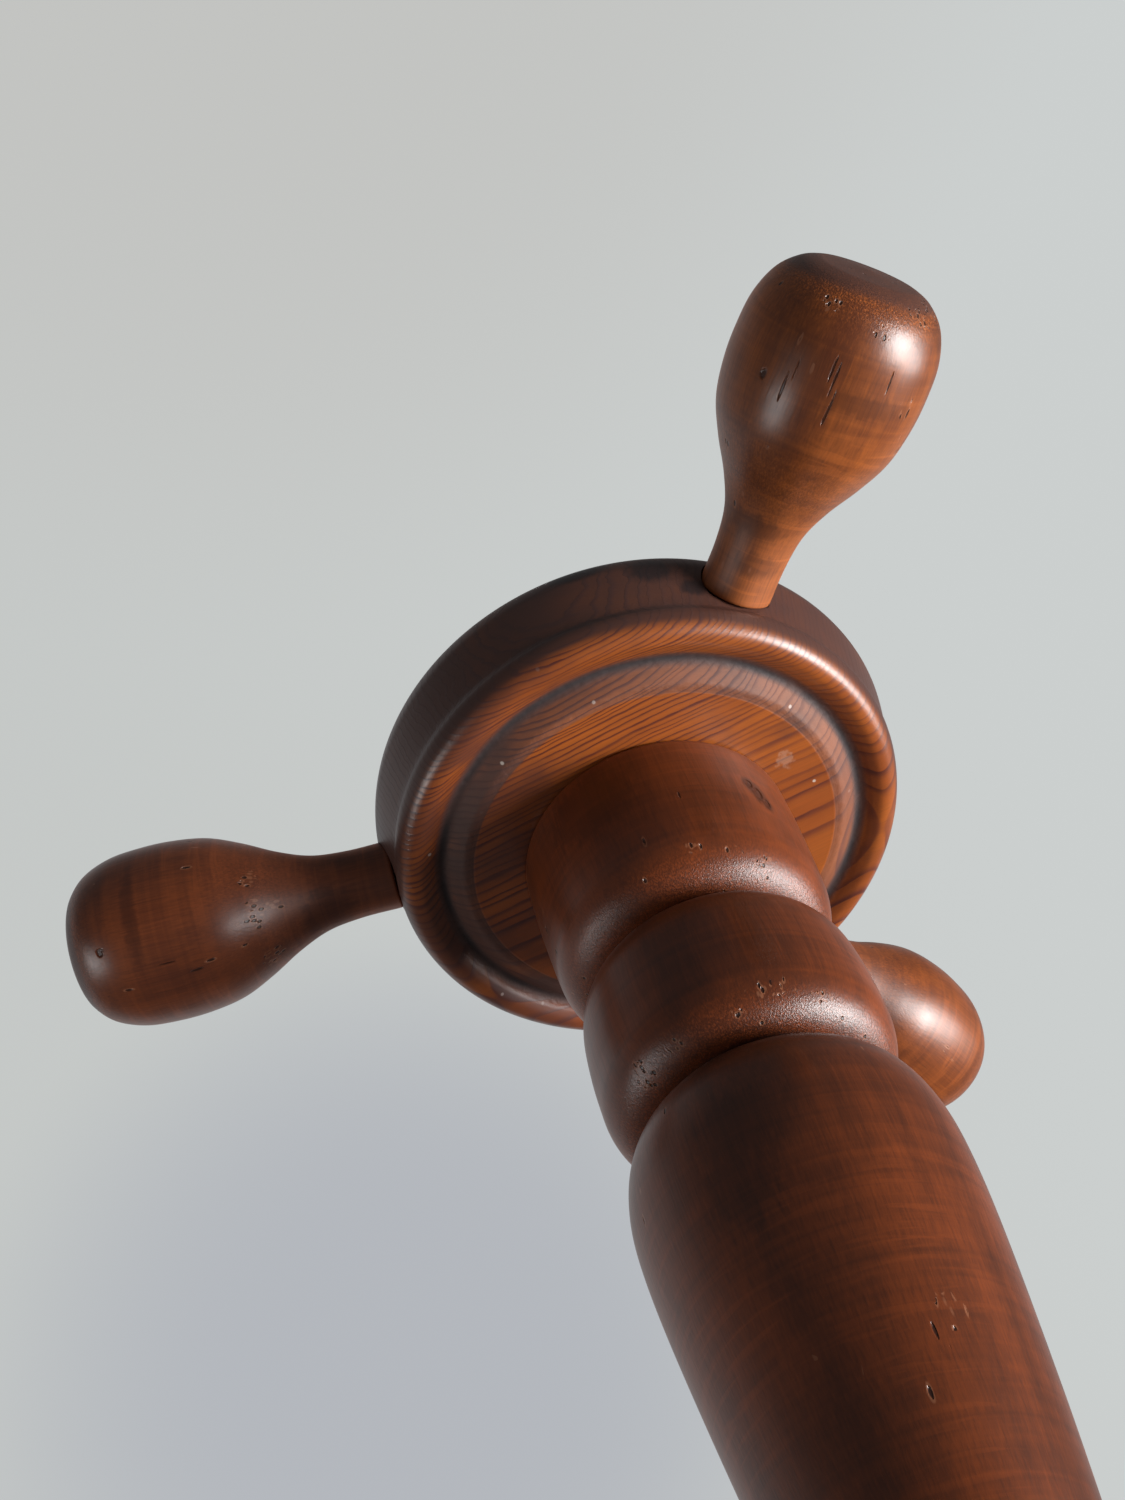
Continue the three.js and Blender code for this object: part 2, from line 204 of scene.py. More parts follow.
class Graph:
    """The node tree of a material or a world, with short names for the nodes that are used here."""

    def __init__(self, owner):
        owner.use_nodes = True
        self.owner = owner
        self.tree = owner.node_tree

    def node(self, kind, inputs=(), **settings):
        n = self.tree.nodes.new(kind)
        for key, value in settings.items():
            setattr(n, key, value)
        for key, value in dict(inputs).items():
            self.put(n.inputs[key], value)
        return n

    def put(self, socket, value):
        if isinstance(value, bpy.types.NodeSocket):
            self.tree.links.new(value, socket)
        else:
            socket.default_value = value

    def math(self, operation, a, b=0.0, clamp=False):
        n = self.node("ShaderNodeMath", {0: a, 1: b}, operation=operation, use_clamp=clamp)
        return n.outputs[0]

    def plus(self, a, b):
        return self.math("ADD", a, b)

    def times(self, a, b):
        return self.math("MULTIPLY", a, b)

    def swing(self, value, size):
        """A noise about 0.5 turned into one about 0 with this size."""
        return self.times(self.math("SUBTRACT", value, 0.5), size)

    def mix(self, factor, a, b):
        """Color a with color b over it, as far as the factor says."""
        n = self.node("ShaderNodeMix", {0: factor, 6: a, 7: b}, data_type="RGBA")
        return n.outputs[2]

    def scaled(self, vector, scale, offset=(0, 0, 0)):
        n = self.node("ShaderNodeVectorMath", {0: vector, 1: scale, 2: offset}, operation="MULTIPLY_ADD")
        return n.outputs[0]

    def noise(self, vector, scale, detail=3.0, rough=0.55, distortion=0.0, offset=(0, 0, 0)):
        """Noise over a vector that is scaled along x, y and z and moved by the offset."""
        moved = self.scaled(vector, scale, offset)
        n = self.node("ShaderNodeTexNoise", {"Vector": moved, "Scale": 1.0, "Detail": detail,
                                             "Roughness": rough, "Distortion": distortion})
        return n.outputs["Fac"]

    def cells(self, vector, dimensions="3D"):
        """The distance from the middle of a random cell of size 1, and a random number for each cell."""
        n = self.node("ShaderNodeTexVoronoi", {"Vector": vector, "Scale": 1.0}, feature="F1",
                      voronoi_dimensions=dimensions)
        return n.outputs["Distance"], self.part(n.outputs["Color"], 0, "Color")

    def part(self, value, index, kind="XYZ"):
        """One component of a vector, or of a color."""
        return self.node(f"ShaderNodeSeparate{kind}", {0: value}).outputs[index]

    def spread(self, value, low, high, to_low=0.0, to_high=1.0):
        n = self.node("ShaderNodeMapRange", {0: value, 1: low, 2: high, 3: to_low, 4: to_high},
                      interpolation_type="SMOOTHSTEP")
        return n.outputs[0]

    def hollow(self):
        return self.node("ShaderNodeAttribute", attribute_name="hollow").outputs["Fac"]

    def along_axis(self):
        """How squarely the surface faces along the piece's own Z: turned wood shows end grain there."""
        normal = self.node("ShaderNodeNewGeometry").outputs["Normal"]
        own = self.node("ShaderNodeVectorTransform", {0: normal}, vector_type="NORMAL",
                        convert_from="WORLD", convert_to="OBJECT").outputs[0]
        return self.math("ABSOLUTE", self.part(own, 2))

    def spot(self, place, azimuth, radius, height, width, length, ragged=0.0):
        """1 near one point of a turned surface and 0 beyond its half width and half length, all in mm."""
        a = math.radians(azimuth)
        center = (radius * math.cos(a), radius * math.sin(a), height)
        scale = (1 / MM / width, 1 / MM / width, 1 / MM / length)
        offset = self.scaled(place, scale, [-c * MM * k for c, k in zip(center, scale)])
        distance = self.node("ShaderNodeVectorMath", {0: offset}, operation="LENGTH").outputs["Value"]
        if ragged:
            distance = self.plus(distance, self.swing(self.noise(place, (600, 600, 200)), ragged))
        return self.spread(distance, 1.0, 0.45)

    def any_spot(self, place, spots, ragged=0.0):
        """The strongest of several spots, each given as the arguments of spot()."""
        total = self.spot(place, *spots[0], ragged)
        for values in spots[1:]:
            total = self.math("MAXIMUM", total, self.spot(place, *values, ragged))
        return total

    def bump(self, height, distance, strength=1.0, under=None):
        inputs = {"Height": height, "Distance": distance, "Strength": strength}
        if under is not None:
            inputs["Normal"] = under
        return self.node("ShaderNodeBump", inputs).outputs[0]

    def finish(self, **sockets):
        """Sets the shader's sockets, with _ for the spaces in their names, and returns the material."""
        shader = self.tree.nodes["Principled BSDF"]
        for key, value in sockets.items():
            self.put(shader.inputs[key.replace("_", " ")], value)
        return self.owner


def shade(color, factor):
    return (color[0] * factor, color[1] * factor, color[2] * factor, 1)


# ---------------------------------------------------------------- woods

LACQUER = {"IOR": 1.5, "Specular_IOR_Level": 0.5}


def growth_rings(g, along, ring_area, seed):
    """Late wood of the rings about the vector's X axis, from 0 to 1, and a strength for each ring."""
    bend = g.noise(along, (5, 11, 11), 2.0, offset=(seed, 0, 0))
    ripple = g.noise(along, (38, 120, 120), offset=(0, seed, 0))
    y, z = g.part(along, 1), g.part(along, 2)
    y = g.plus(y, g.plus(g.swing(bend, 0.016), g.swing(ripple, 0.0032)))
    squared = g.plus(g.times(y, y), g.times(z, z))
    even_turns = g.math("DIVIDE", squared, 2 * ring_area)
    line = g.node("ShaderNodeCombineXYZ", {0: even_turns}).outputs[0]
    turns = g.plus(even_turns, g.times(g.noise(line, (0.37, 0, 0), 1.0), 2.2))
    phase = g.math("FRACT", turns)
    late = g.times(g.spread(phase, 0.48, 0.92), g.spread(phase, 1.0, 0.93))
    count = g.node("ShaderNodeCombineXYZ", {0: g.math("FLOOR", turns)}).outputs[0]
    return late, g.noise(count, (3.7, 0, 0), 0.0)


def pale_specks(g, place, level):
    """A few specks of paint or plaster on the faces that are nearly level."""
    distance, pick = g.cells(g.scaled(place, (95, 95, 95)), "2D")
    dot = g.times(g.spread(distance, 0.065, 0.03), g.spread(level, 0.6, 0.8))
    return g.times(dot, g.spread(pick, 0.86, 0.98, 0.0, 0.8))


def pits(g, vector, density):
    """Short pits along the grain, as their floors and their raised edges."""
    distance, pick = g.cells(g.scaled(vector, (820, 820, 250)))
    picked = g.math("LESS_THAN", pick, density)
    pit = g.times(g.spread(distance, 0.44, 0.24), picked)
    return pit, g.math("SUBTRACT", g.times(g.spread(distance, 0.66, 0.5), picked), pit)


def pine(name, pith, grain, ring_area, shoulder, seed, painted_shadow_spots=(), worn=()):
    """Stained pine under satin lacquer: growth rings about a pith line beside the piece.

    pith is a point on the line, and grain its direction in degrees from +X. The rings get narrower
    outwards: each has the same area, so a ring's width is ring_area divided by its radius. shoulder is
    the inner and outer radius, in mm, of the dull moulding beside the plate. The dark spots are painted
    shadow and shade, on the rim beside a peg and in the groove, and worn are spots of bare, rubbed wood.
    """
    g = Graph(bpy.data.materials.new(name))
    place = g.node("ShaderNodeTexCoord").outputs["Object"]
    along = g.node("ShaderNodeMapping", {"Vector": place, "Location": pith,
                                         "Rotation": (0, 0, math.radians(grain))},
                   vector_type="TEXTURE").outputs[0]
    late, strength = growth_rings(g, along, ring_area, seed)
    fibre = g.noise(along, (60, 2600, 2600), 3.0, 0.6, offset=(seed, seed, 0))
    cloud = g.noise(along, (9, 26, 26), offset=(0, 0, seed))
    sunk = g.hollow()
    light = g.mix(g.spread(cloud, 0.3, 0.72), (0.18, 0.041, 0.009, 1), (0.30, 0.077, 0.011, 1))
    dark = g.mix(g.spread(cloud, 0.3, 0.7), (0.050, 0.010, 0.009, 1), (0.090, 0.017, 0.010, 1))
    # The rings fade in patches and towards +X.
    patchy = g.noise(along, (22, 90, 90), offset=(seed, 0, seed))
    amount = g.plus(g.times(strength, 1.05), g.spread(patchy, 0.32, 0.6, 0.15, 0.8))
    across = g.part(place, 0)
    amount = g.times(amount, g.spread(across, -0.02, 0.075, 1.0, 0.55))
    color = g.mix(g.math("MULTIPLY", late, amount, clamp=True), light, dark)
    # A dark, purplish haze of stain in patches, with painted shade added towards -X, away from the main
    # light.
    stain_haze_and_shade = g.plus(g.noise(place, (19, 31, 40), 4.0, 0.6, offset=(0, seed, 2)),
                  g.spread(across, -0.08, 0.08, 0.06, -0.13))
    color = g.mix(g.spread(stain_haze_and_shade, 0.42, 0.66, 0.0, 0.75), color, (0.070, 0.023, 0.016, 1))
    color = g.mix(g.spread(fibre, 0.35, 0.75, 0.0, 0.28), color, (0.09, 0.03, 0.012, 1))
    # The lathe-cut slopes took more stain than the flats, and the hollows are darkened with painted
    # shade.
    normal = g.node("ShaderNodeNewGeometry").outputs["Normal"]
    level = g.math("ABSOLUTE", g.part(normal, 2))
    steep = g.spread(level, 0.86, 0.35)
    blotch = g.noise(place, (26, 26, 40), 3.0, 0.6, offset=(seed, 3, 1))
    stain_and_groove_shade = g.math("MAXIMUM", g.times(steep, g.spread(blotch, 0.2, 0.6, 0.75, 0.95)),
                   g.spread(sunk, 0.05, 0.5, 0.0, 0.9))
    color = g.mix(stain_and_groove_shade, color, (0.056, 0.025, 0.020, 1))
    # The shoulder beside the plate is dull and greyish, darker where the haze and its painted shade lie,
    # with small dents from the tool on its ridge and a ragged dark line of painted shadow in the groove
    # at its outer edge.
    start, end = shoulder
    radius = g.node("ShaderNodeVectorMath", {0: g.scaled(place, (1 / MM, 1 / MM, 0))},
                    operation="LENGTH").outputs["Value"]
    ragged = g.plus(radius, g.swing(blotch, 2.2))
    dull = g.times(g.spread(radius, start - 0.2, start + 0.3), g.spread(ragged, end + 0.8, end - 1.2))
    color = g.mix(g.times(dull, g.spread(stain_haze_and_shade, 0.3, 0.6, 0.35, 0.85)), color, (0.046, 0.018, 0.013, 1))
    # Painted shadow: a ragged, near-black line in the groove.
    line = g.math("ABSOLUTE", g.math("SUBTRACT", ragged, end - 1.4))
    line = g.times(g.spread(line, 1.7, 0.2), g.spread(patchy, 0.3, 0.6, 0.35, 0.9))
    color = g.mix(line, color, (0.012, 0.007, 0.008, 1))
    # Painted shadow and shade: near-black spots where a peg's shadow falls and in the groove.
    if painted_shadow_spots:
        color = g.mix(g.times(g.any_spot(place, painted_shadow_spots, 0.6), 0.8), color, (0.012, 0.009, 0.010, 1))
    if worn:
        color = g.mix(g.times(g.any_spot(place, worn, 2.2), 0.2), color, (0.42, 0.33, 0.27, 1))
    color = g.mix(pale_specks(g, place, level), color, (0.46, 0.40, 0.35, 1))
    rough = g.plus(g.spread(cloud, 0.2, 0.8, 0.29, 0.37), g.times(late, 0.05))
    rough = g.plus(rough, g.times(stain_and_groove_shade, 0.06))
    rough = g.plus(rough, g.times(dull, 0.32))
    height = g.plus(g.times(late, 0.6), g.times(fibre, 0.5))
    chatter = g.noise(place, (380, 380, 500), 2.0)
    normal = g.bump(height, 0.00006, 0.6)
    ridge = g.times(g.spread(radius, start, start + 0.8), g.spread(radius, start + 4.5, start + 2.5))
    chattered = g.math("MAXIMUM", g.spread(sunk, -0.1, 0.4), ridge)
    normal = g.bump(g.times(chatter, chattered), 0.0005, 0.5, normal)
    return g.finish(Base_Color=color, Roughness=rough, Normal=normal, **LACQUER)


def hardwood(name, light, dark, seed, end=None, torn=(), cracks=(), knots=(), stain_and_shade_spots=()):
    """Stained, fine-grained hardwood under satin lacquer, its grain along the piece's own +Z.

    end is the height of a dark end face, on a piece whose neck is worn dull. torn, cracks and knots are
    spots of torn grain, narrow splits along the grain and small knots. The darker patches are painted
    shade on faces that the light misses, such as the column's front and the pegs' necks, with a few
    dark stain streaks across the bulbs.
    """
    g = Graph(bpy.data.materials.new(name))
    place = g.node("ShaderNodeTexCoord").outputs["Object"]
    moved = g.scaled(place, (1, 1, 1), (seed * 1.7, seed * 0.9, seed * 2.3))
    bend = g.noise(moved, (9, 9, 2.2))
    grain = g.noise(moved, (120, 120, 5), 4.0, 0.6, 0.6)
    fibre = g.noise(moved, (1700, 1700, 60), 3.0, 0.6)
    arcs = g.noise(moved, (13, 13, 330), 4.0, 0.55, 0.9)
    cloud = g.noise(moved, (17, 17, 9))
    sunk = g.hollow()
    ends = g.spread(g.along_axis(), 0.22, 0.80)
    tone = g.plus(g.times(grain, 0.45), g.times(arcs, 0.35))
    tone = g.plus(tone, g.times(bend, 0.2))
    tone = g.plus(tone, g.swing(cloud, 0.9))
    color = g.mix(g.spread(tone, 0.25, 0.78), shade(dark, 1), shade(light, 1))
    color = g.mix(g.spread(fibre, 0.42, 0.8, 0.0, 0.45), color, shade(dark, 0.5))
    color = g.mix(g.spread(fibre, 0.48, 0.25, 0.0, 0.15), color, shade(light, 1.6))
    # A wavy figure of short, light lines across the grain, in patches.
    figure = g.noise(moved, (38, 38, 420), 2.0, 0.5, 0.8)
    figure = g.times(g.spread(figure, 0.53, 0.62, 0.0, 0.32), g.spread(cloud, 0.44, 0.62))
    color = g.mix(figure, color, shade(light, 1.5))
    # Turned end grain drinks the stain unevenly: a fine stipple, light and dark.
    stipple = g.noise(moved, (2300, 2300, 520), 2.0, 0.7)
    color = g.mix(g.times(ends, g.spread(stipple, 0.42, 0.66, 0.0, 0.7)), color, shade(dark, 0.5))
    color = g.mix(g.times(ends, g.spread(stipple, 0.50, 0.30, 0.0, 0.6)), color, shade(light, 1.6))
    # Painted shade darkens the grooves, and the ridges are lighter with wear.
    color = g.mix(g.spread(sunk, 0.02, 0.7, 0.0, 0.75), color, shade(dark, 0.4))
    color = g.mix(g.spread(sunk, -0.15, -0.9, 0.0, 0.35), color, shade(light, 1.25))
    # Darker patches: painted shade where the light misses, with a few dark stain streaks.
    if stain_and_shade_spots:
        color = g.mix(g.times(g.any_spot(place, stain_and_shade_spots, 1.2), 0.5), color, shade(dark, 0.5))
    # Pits: hardly any on the flats, thick where the tool tore the wood.
    density = g.plus(0.003, g.times(ends, 0.012))
    if torn:
        density = g.math("MAXIMUM", density, g.times(g.any_spot(place, torn, 0.9), 0.62))
    pit, lip = pits(g, moved, density)
    color = g.mix(g.times(lip, 0.45), color, (0.30, 0.12, 0.060, 1))
    color = g.mix(g.times(pit, 0.85), color, shade(dark, 0.15))
    dents = pit
    if cracks:
        crack = g.any_spot(place, cracks, 1.1)
        color = g.mix(g.times(crack, 0.85), color, shade(dark, 0.22))
        dents = g.math("MAXIMUM", dents, crack)
    if knots:
        halo = g.any_spot(place, [(*k[:3], k[3] * 2.0, k[4] * 1.5) for k in knots], 0.7)
        knot = g.any_spot(place, knots, 0.9)
        core = g.any_spot(place, [(*k[:3], k[3] * 0.45, k[4] * 0.45) for k in knots], 0.5)
        color = g.mix(g.times(halo, 0.5), color, shade(light, 1.1))
        color = g.mix(g.times(knot, 0.8), color, shade(dark, 0.35))
        dents = g.math("MAXIMUM", dents, core)
    rough = g.plus(g.spread(cloud, 0.25, 0.75, 0.27, 0.34), g.times(fibre, 0.08))
    rough = g.plus(rough, g.times(ends, 0.03))
    if end is not None:
        height = g.part(place, 2)
        past = g.spread(g.plus(height, g.swing(cloud, 0.006)), end - 0.0012, end + 0.0012, 0.0, 0.8)
        color = g.mix(past, color, (0.058, 0.025, 0.019, 1))
        rough = g.plus(rough, g.spread(height, end - 0.050, end - 0.066, 0.0, 0.16))
    relief = g.plus(g.times(fibre, 0.7), g.times(grain, 0.8))
    normal = g.bump(relief, 0.00008, 0.5)
    normal = g.bump(g.times(stipple, ends), 0.00022, 0.6, normal)
    normal = g.bump(g.times(dents, -1.0), 0.0005, 0.8, normal)
    return g.finish(Base_Color=color, Roughness=rough, Normal=normal, **LACQUER)


def metal(name, color, rough, seed):
    """Lightly brushed metal."""
    g = Graph(bpy.data.materials.new(name))
    place = g.node("ShaderNodeTexCoord").outputs["Object"]
    streaks = g.noise(place, (900, 900, 6000), offset=(seed, 0, 0))
    cloud = g.noise(place, (180, 180, 180), offset=(0, seed, 0))
    tint = g.mix(g.spread(cloud, 0.3, 0.75), shade(color, 0.7), shade(color, 1))
    roughness = g.plus(g.times(streaks, 0.2), rough - 0.1)
    normal = g.bump(streaks, 0.00002, 0.4)
    return g.finish(Base_Color=tint, Roughness=roughness, Normal=normal, Metallic=1.0)


def felt(name, color, seed):
    """Pressed wool felt with a short fuzz."""
    g = Graph(bpy.data.materials.new(name))
    place = g.node("ShaderNodeTexCoord").outputs["Object"]
    fuzz = g.noise(place, (1400, 1400, 1400), 5.0, 0.7, 1.5, offset=(seed, 0, 0))
    cloud = g.noise(place, (160, 160, 160))
    tint = g.mix(g.spread(fuzz, 0.3, 0.7), shade(color, 0.55), shade(color, 1.35))
    tint = g.mix(g.spread(cloud, 0.35, 0.7, 0.0, 0.3), tint, shade(color, 0.6))
    normal = g.bump(fuzz, 0.0004, 0.9)
    return g.finish(Base_Color=tint, Roughness=g.spread(fuzz, 0.0, 1.0, 0.85, 0.98), Normal=normal,
                    Sheen_Weight=0.4)


# ---------------------------------------------------------------- pieces

def place_piece(piece, node, material):
    piece.data.materials.clear()
    piece.data.materials.append(material)
    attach(piece, "root")
    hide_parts(node)


# Each peg's number, direction in degrees from +X, length, and light and dark stain. The stains differ
# from peg to peg as painted light and shade: peg 1 is painted lightest, and peg 3, on the side away
# from the main light, darkest.
PEGS = ((1, -52.0, 96.0, (0.29, 0.078, 0.015), (0.105, 0.027, 0.009)),
        (2, 68.0, 106.0, (0.24, 0.060, 0.012), (0.09, 0.022, 0.007)),
        (3, 190.0, 101.0, (0.17, 0.041, 0.011), (0.07, 0.017, 0.007)))
PEG_RISE = 17.5  # of the pegs' axes above the head's datum
PEG_SEAT_R = 80.4
PEG_NECK_R = 10.8
PEG_BULB_R = 27.5
# The swelling of a peg, as shares of the bulb's radius and of the length.
BULB = ((0.44, 0.24), (0.58, 0.34), (0.775, 0.44), (0.93, 0.54), (0.995, 0.65), (1, 0.75), (0.965, 0.84),
        (0.85, 0.92), (0.67, 0.97), (0.5, 0.99))
# Marks of use and of the lathe, and darker patches that are mostly painted shade, as [azimuth, radius,
# distance along, half width, half length].
PEG_MARKS = {
    1: {"cracks": [(-24, 27.2, 75, 0.45, 5), (-21, 27.3, 72, 0.4, 7), (-18, 27.3, 65, 0.45, 6),
                   (-45, 27.5, 66, 0.5, 5), (-42, 27.4, 70, 0.3, 4), (9, 27.2, 75, 0.4, 5),
                   (13, 27, 70, 0.3, 4), (-59, 27.5, 66.5, 1.3, 1.8)],
        "torn": [(28, 27.6, 69.5, 3, 4), (-4, 24.4, 86.6, 4, 3), (26, 21, 91, 5, 3), (51, 18.9, 93, 5, 3),
                 (-40, 23, 89, 4, 3)],
        "stain_and_shade_spots": [(2, 27.4, 68, 16, 4), (-40, 12, 24, 14, 5), (-10, 11, 13, 9, 5), (60, 24, 88, 12, 5)]},
    2: {"cracks": [(-40, 25, 62, 0.6, 3)],
        "torn": [(-28, 24.3, 70, 5, 4)],
        "stain_and_shade_spots": [(0, 20, 45, 14, 9)]},
    3: {"cracks": [(36, 25.7, 87.8, 1.6, 1.4), (20, 27.4, 70, 0.4, 4), (10, 27, 62, 0.4, 3)],
        "torn": [(34, 20, 42, 6, 5), (36, 17.4, 37, 4, 4), (-12, 19.4, 40.7, 4, 5), (65, 20, 42, 4, 4)],
        "stain_and_shade_spots": [(55, 27.4, 77, 22, 3), (0, 12, 22, 14, 10)]},
}


def peg_frame(angle):
    """The pegs' own frame: +Z points outwards along the peg from the column's axis."""
    lift = Matrix.Translation((0, 0, (HEAD_Z + PEG_RISE) * MM))
    return lift @ Matrix.Rotation(math.radians(angle), 4, "Z") @ Matrix.Rotation(math.pi / 2, 4, "Y")


TENON_R = 15.0
TENONS = {"column_upper": 18, "column_lower": 24}  # lengths
COLUMN_STAIN = ((0.168, 0.035, 0.0075), (0.060, 0.0145, 0.005))  # light and dark
# Marks on the upper length, as [azimuth, radius, height from the datum, half width, half length].
COLUMN_MARKS = {
    "torn": [(-75, 36.8, -105, 3.5, 3), (-68, 37, -104.6, 3.5, 3), (-62, 37, -105, 3, 2.5),
             (-48, 36, -107, 4, 2), (-86, 34.6, -109, 3, 2), (-133, 34, -109, 4, 3),
             (-131, 35.6, -106.5, 3, 3), (-113, 34.6, -108.5, 3, 2), (-77, 38.6, -51.5, 3, 2),
             (-60, 37.7, -53.3, 4, 2), (-46, 36.6, -55, 4, 2), (-59, 34.5, -193, 5, 5)],
    "cracks": [(-74, 41, -31, 0.4, 1.6), (-66, 34.1, -196, 0.5, 2.5), (-63, 34, -201, 0.4, 2)],
    "knots": [(-41, 41.3, -23, 3.2, 4.5), (-38, 41.2, -26.5, 3.8, 6.5), (-35, 41.1, -30, 2.8, 5)],
    # Painted shade: darker patches on the column's front, the side the light misses.
    "stain_and_shade_spots": [(-98, 40, -142, 17, 12), (-106, 39.8, -156, 12, 14), (-100, 38, -118, 12, 6),
             (-110, 41, -20, 20, 16)],
}

HEAD_TOP = 34.0  # above the head's datum
CAP_SEAT_R = 12.3
CAP_SEAT_DEPTH = 12.0
PLATE_R = 57.0
# From a plate's edge to the bead on the disc's rim, as [distance outwards, depth behind the plate]: a
# fine quirk, a rounded shoulder, a soft groove and a rounded band.
MOULDING = ((0, 0), (0.6, 0.3), (1.6, 0.3), (3.2, 0.7), (5.6, 2.1), (7.6, 3.6), (9.2, 4.2), (11, 3.7),
            (13.2, 2.2), (16, 1), (18.8, 1.4), (21.2, 3.3), (22.6, 6.2), (23, 8.2))
SHOULDER = 10.5  # the width of the shoulder and half of the groove
BASE_R = 200.0
BASE_MOULDING = 1.6  # how much larger the base's moulding is


def make_head():
    socket = TENONS["column_upper"] - PLATE_DROP + GAP
    recess = HEAD_TOP - CAP_SEAT_DEPTH
    outline = [
        (0, socket), (TENON_R + GAP, socket), (TENON_R + GAP, -PLATE_DROP),
        *curve([(PLATE_R + out, depth - PLATE_DROP) for out, depth in MOULDING]),
        *curve([(79.5, 7.0), (81.2, 13), (83.2, 20.5), (83.9, 25), (82.8, 30), (79, 33.3)]),
        (75, HEAD_TOP), (CAP_SEAT_R, HEAD_TOP), (CAP_SEAT_R, recess), (0, recess),
    ]
    outline = even(outline, 0.4, blend=1)
    head = turned("head", outline, 288, waves(3, 6, 0.12))
    cutters = []
    floor, bore, outside = PEG_SEAT_R - GAP, PEG_NECK_R + GAP, 90
    for number, angle, *_ in PEGS:
        shape = np.array([(0, floor), (bore, floor), (bore, outside), (0, outside)], float)
        seat = turned(f"seat_{number}", shape, 96)
        seat.matrix_world = Matrix.Translation((0, 0, -HEAD_Z * MM)) @ peg_frame(angle)
        cutters.append(seat)
    cut(head, cutters)
    mark_hollows(head, outline, 40, 0.7)
    crisp(head)
    head.location.z = HEAD_Z * MM
    # Painted shadow of peg 1 on the rim beside it, and painted shade at one place in the groove.
    painted_shadow_spots = [(-70, 83, 22, 9, 7), (-62, 82, 14, 6, 4), (-84, 83.5, 27, 12, 5), (120, 66, 0, 12, 5)]
    worn = [(-18, 48, -4, 3.4, 3)]
    look = pine("disc_pine", pith=(0, 0.030, 0.025), grain=-3.5, ring_area=0.000137,
                shoulder=(PLATE_R, PLATE_R + SHOULDER), seed=2.0, painted_shadow_spots=painted_shadow_spots, worn=worn)
    place_piece(head, "head_disc", look)


def make_pegs():
    for number, angle, length, light, dark in PEGS:
        neck = [(PEG_NECK_R, 0.02 * length), (PEG_NECK_R, 0.13 * length)]
        bulb = curve(neck + [(r * PEG_BULB_R, z * length) for r, z in BULB])
        outline = even([(0, 0), (PEG_NECK_R, 0), *bulb, (0, length)], 0.5)
        outline[:, 1] += PEG_SEAT_R
        wobble = waves(10 + number, 7, 0.22)
        peg = turned(f"peg_turned_{number}", outline, 160, wobble, reach=60, depth=1.2)
        crisp(peg)
        peg.matrix_world = peg_frame(angle)
        end = (PEG_SEAT_R + 0.955 * length) * MM
        marks = {kind: [(a, r, PEG_SEAT_R + z, w, h) for a, r, z, w, h in spots]
                 for kind, spots in PEG_MARKS[number].items()}
        look = hardwood(f"peg_wood_{number}", light, dark, 5.0 + number, end, **marks)
        place_piece(peg, f"peg_{number}", look)


def column_outline(total):
    """From the disc to the joint, as [radius, distance from the disc's datum]."""
    end = total - GAP / 2
    return [
        (41.0, PLATE_DROP + GAP), (41.5, PLATE_DROP + 1.0),
        *curve([(41.5, 5.5), (41.35, 22), (40.6, 38), (40.2, 44)]),
        *arc(27, 44, 13.2, 16, 0, 86), (27, 60.4),
        *curve([(27.4, 60.4), (31, 63), (35.6, 67.5), (38.2, 74), (39, 86), (38.8, 96)]),
        *arc(27, 97, 11.75, 15, 6, 86), (27, 112.4),
        *curve([(27.4, 112.4), (31, 115), (36, 120.5), (39, 129), (40, 141), (38.4, 163), (33.8, 199),
                (28.4, 234), (22.5, 272), (18.5, 302), (19.4, 318)]),
        (24, 321), *arc(24, 330, 6, 8, -80, 80), (24, 339), (21, 343),
        *curve([(21.4, 349), (23.4, 430), (25, 560), (23.6, 690), (22, total - 38)]),
        (24, total - 34), *arc(24, total - 25, 6, 8, -80, 80), (24, total - 16),
        (27.5, total - 12), (27.5, end - 0.8), (27, end),
    ]


def make_column():
    lower_datum = BASE_TOP - PLATE_DROP
    # The upper length hangs from the head's datum, and the lower one stands on the base's.
    for node, name, datum, total, side, marks in (
            ("column_upper", "column_top", HEAD_Z, HEAD_Z - JOINT_Z, -1, COLUMN_MARKS),
            ("column_lower", "column_bottom", lower_datum, JOINT_Z - lower_datum, 1, {})):
        root = PLATE_DROP - TENONS[node]
        outline = [(0, root), (TENON_R, root), (TENON_R, PLATE_DROP + GAP), *column_outline(total),
                   (0, total - GAP / 2)]
        shape = even(outline, 0.8, blend=2)
        if side < 0:
            shape = shape[::-1] * (1, -1)
        post = turned(name, shape, 256, waves(20 + side, 8, 0.10), reach=60, depth=1.6)
        crisp(post)
        post.location.z = datum * MM
        look = hardwood(f"{name}_wood", *COLUMN_STAIN, 1.0 + side, **marks)
        place_piece(post, node, look)


def make_cap():
    top = HEAD_TOP + GAP
    spigot = CAP_SEAT_R - GAP
    outline = even([(0, top - 4), (spigot, top - 4), (spigot, top), (22.5, top),
                    *arc(21.5, top + 2.5, 2.5, 2.5, -60, 90), (18, top + 5.6),
                    *arc(0, top + 5.6, 16.5, 11, 0, 90)], 0.4)
    cap = turned("cap", outline, 128, waves(31, 5, 0.06), reach=20, depth=0.5)
    crisp(cap)
    cap.location.z = HEAD_Z * MM
    look = hardwood("cap_wood", (0.20, 0.064, 0.024), (0.092, 0.031, 0.015), 12.0)
    place_piece(cap, "top_cap", look)


